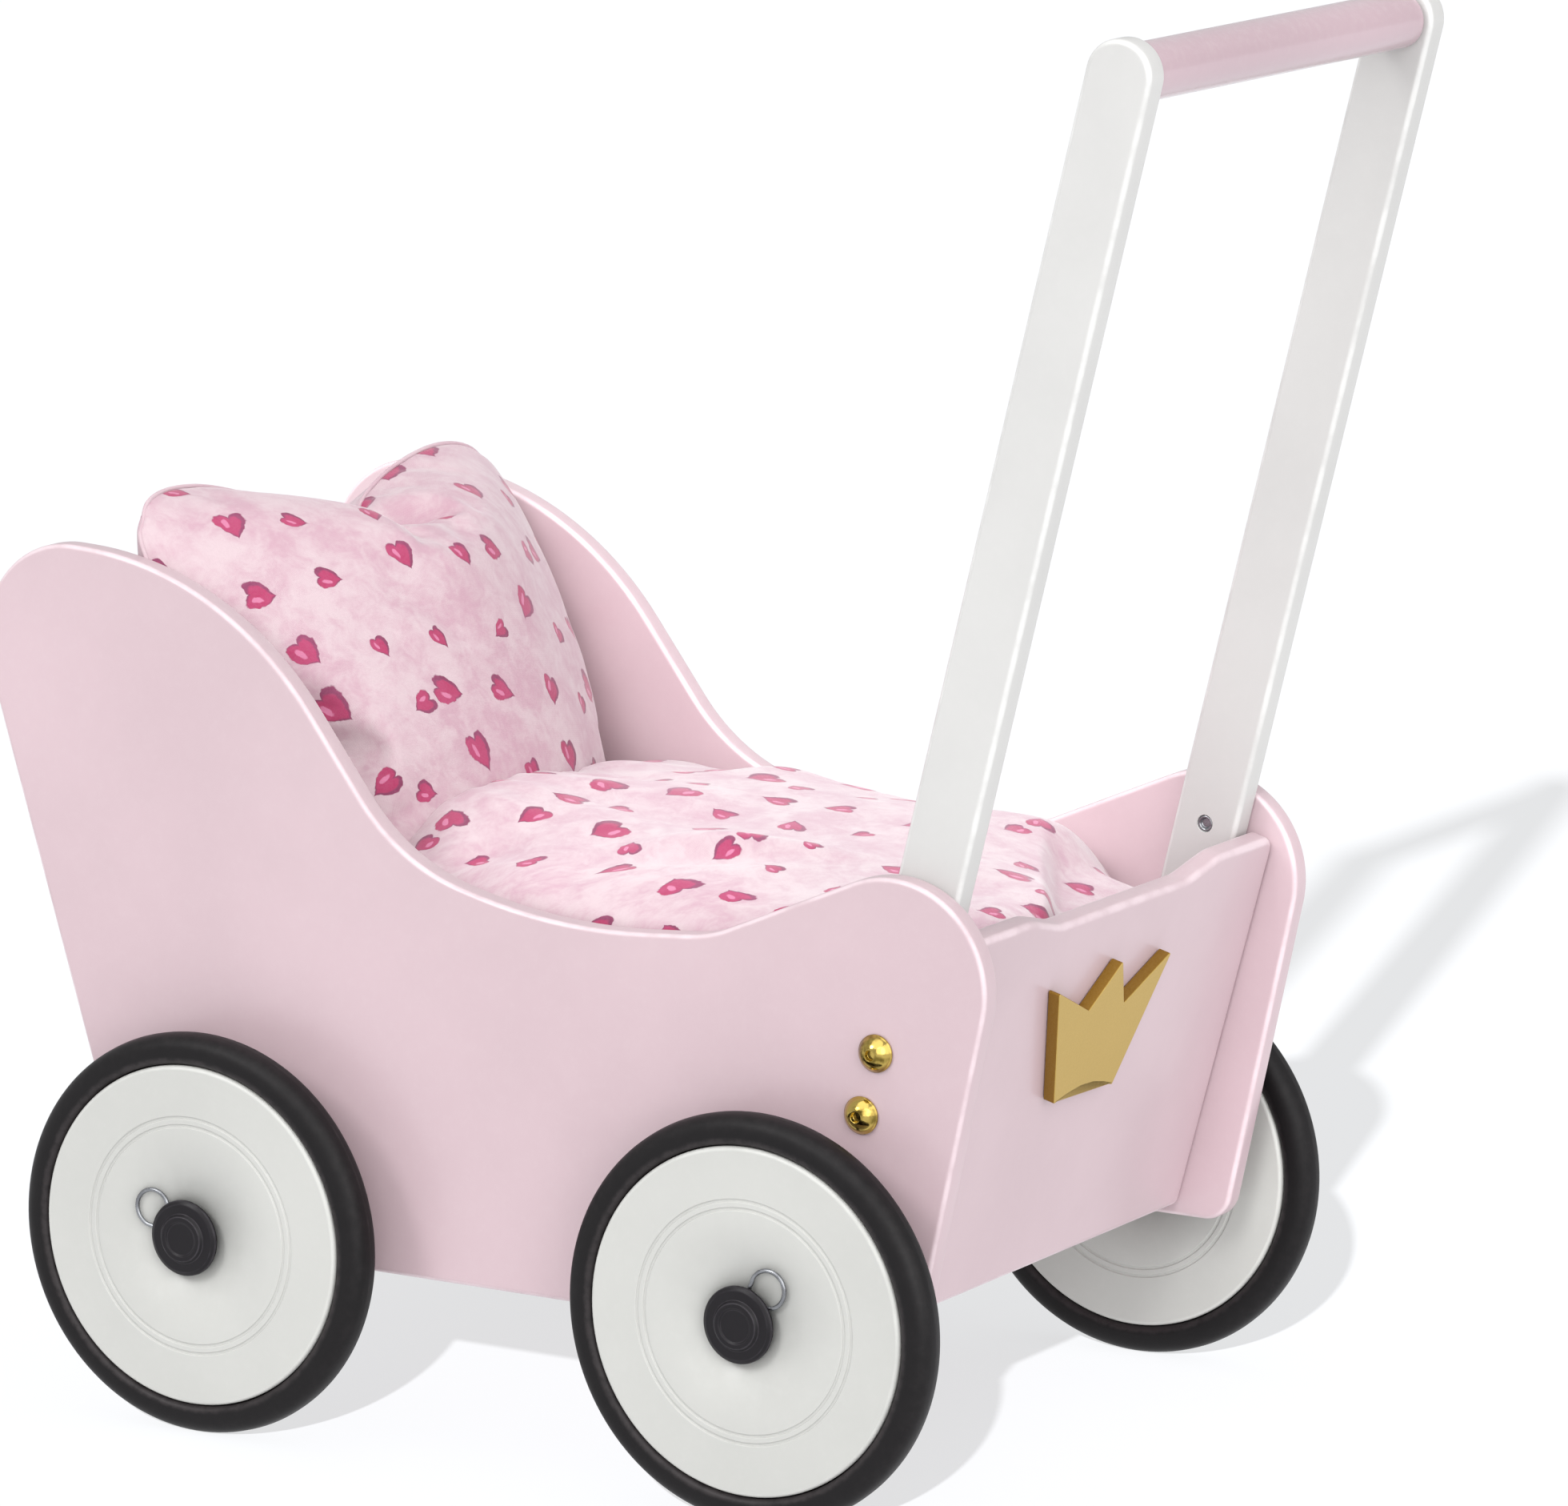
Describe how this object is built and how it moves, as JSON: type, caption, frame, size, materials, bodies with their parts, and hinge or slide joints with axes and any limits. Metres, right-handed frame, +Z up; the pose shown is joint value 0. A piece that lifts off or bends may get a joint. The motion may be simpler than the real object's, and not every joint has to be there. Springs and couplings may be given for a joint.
{
  "type": "doll stroller",
  "caption": "Wooden doll's pram: wavy-sided tub on rubber-tyred wheels, leaning push handle, crown plate on the foot panel, pillow, duvet and mattress.",
  "frame": {"origin": "on the ground under the middle of the overall box", "axes": "+X towards the head end, the direction of travel; +Y to the pram's left; +Z up"},
  "size_m": [0.5083, 0.3316, 0.5638],
  "materials": {
    "pink_lacquer": "satin painted MDF",
    "white_lacquer": "satin white painted wood",
    "wheel_lacquer": "satin off-white painted MDF",
    "grip_lacquer": "gloss pink painted wood",
    "gold_paint": "satin gold painted MDF",
    "brass": "polished brass plate",
    "zinc_steel": "zinc plated steel",
    "beech": "plain beech",
    "black_plastic": "satin black plastic",
    "tyre_rubber": "matt black rubber",
    "mattress_cover": "plain pink cotton",
    "printed_cotton": "pink cotton printed with small hearts"
  },
  "bodies": {
    "frame": {"side_panel_left": "pink_lacquer", "side_panel_right": "pink_lacquer", "head_end_panel": "pink_lacquer", "foot_end_panel": "pink_lacquer", "floor_panel": "pink_lacquer", "crown_emblem": "gold_paint", "handle_arm_left": "white_lacquer", "handle_arm_right": "white_lacquer", "handle_grip": "grip_lacquer", "handle_bolt_lower_left": "brass", "handle_bolt_upper_left": "brass", "handle_bolt_lower_right": "brass", "handle_bolt_upper_right": "brass", "arm_insert_lower_left": "zinc_steel", "arm_insert_upper_left": "zinc_steel", "arm_insert_lower_spare_left": "zinc_steel", "arm_insert_upper_spare_left": "zinc_steel", "arm_insert_lower_right": "zinc_steel", "arm_insert_upper_right": "zinc_steel", "arm_insert_lower_spare_right": "zinc_steel", "arm_insert_upper_spare_right": "zinc_steel", "dowel_foot_lower_left": "beech", "dowel_foot_lower_right": "beech", "dowel_foot_upper_left": "beech", "dowel_foot_upper_right": "beech", "dowel_head_lower_left": "beech", "dowel_head_lower_right": "beech", "dowel_head_upper_left": "beech", "dowel_head_upper_right": "beech", "dowel_floor_rear_left": "beech", "dowel_floor_rear_right": "beech", "dowel_floor_front_left": "beech", "dowel_floor_front_right": "beech"},
    "front_axle_set": {"front_axle": "zinc_steel", "spacer_front_left": "black_plastic", "hub_cap_front_left": "black_plastic", "spring_clip_front_left": "zinc_steel", "spacer_front_right": "black_plastic", "hub_cap_front_right": "black_plastic", "spring_clip_front_right": "zinc_steel"},
    "rear_axle_set": {"rear_axle": "zinc_steel", "spacer_rear_left": "black_plastic", "hub_cap_rear_left": "black_plastic", "spring_clip_rear_left": "zinc_steel", "spacer_rear_right": "black_plastic", "hub_cap_rear_right": "black_plastic", "spring_clip_rear_right": "zinc_steel"},
    "wheel_front_left": {"wheel_disc_front_left": "wheel_lacquer", "tyre_front_left": "tyre_rubber"},
    "wheel_front_right": {"wheel_disc_front_right": "wheel_lacquer", "tyre_front_right": "tyre_rubber"},
    "wheel_rear_left": {"wheel_disc_rear_left": "wheel_lacquer", "tyre_rear_left": "tyre_rubber"},
    "wheel_rear_right": {"wheel_disc_rear_right": "wheel_lacquer", "tyre_rear_right": "tyre_rubber"},
    "mattress": {"mattress": "mattress_cover"},
    "pillow": {"pillow": "printed_cotton"},
    "duvet": {"duvet": "printed_cotton"}
  },
  "joints": [
    {"name": "front_axle_spin", "type": "hinge", "parent": "frame", "child": "front_axle_set", "pos_m": [0.1374, 0, 0.079], "axis": [0, 1, 0], "continuous": true},
    {"name": "wheel_front_left_spin", "type": "hinge", "parent": "front_axle_set", "child": "wheel_front_left", "pos_m": [0.1374, 0.152, 0.079], "axis": [0, 1, 0], "continuous": true},
    {"name": "wheel_front_right_spin", "type": "hinge", "parent": "front_axle_set", "child": "wheel_front_right", "pos_m": [0.1374, -0.152, 0.079], "axis": [0, 1, 0], "continuous": true},
    {"name": "rear_axle_spin", "type": "hinge", "parent": "frame", "child": "rear_axle_set", "pos_m": [-0.112, 0, 0.079], "axis": [0, 1, 0], "continuous": true},
    {"name": "wheel_rear_left_spin", "type": "hinge", "parent": "rear_axle_set", "child": "wheel_rear_left", "pos_m": [-0.112, 0.152, 0.079], "axis": [0, 1, 0], "continuous": true},
    {"name": "wheel_rear_right_spin", "type": "hinge", "parent": "rear_axle_set", "child": "wheel_rear_right", "pos_m": [-0.112, -0.152, 0.079], "axis": [0, 1, 0], "continuous": true},
    {"name": "mattress_lift", "type": "slide", "parent": "frame", "child": "mattress", "axis": [0, 0, 1], "range_m": [0, 0.25]},
    {"name": "pillow_lift", "type": "slide", "parent": "mattress", "child": "pillow", "axis": [0.4258, 0, 0.9048], "range_m": [0, 0.15]},
    {"name": "duvet_lift", "type": "slide", "parent": "mattress", "child": "duvet", "axis": [0, 0, 1], "range_m": [0, 0.15]}
  ]
}
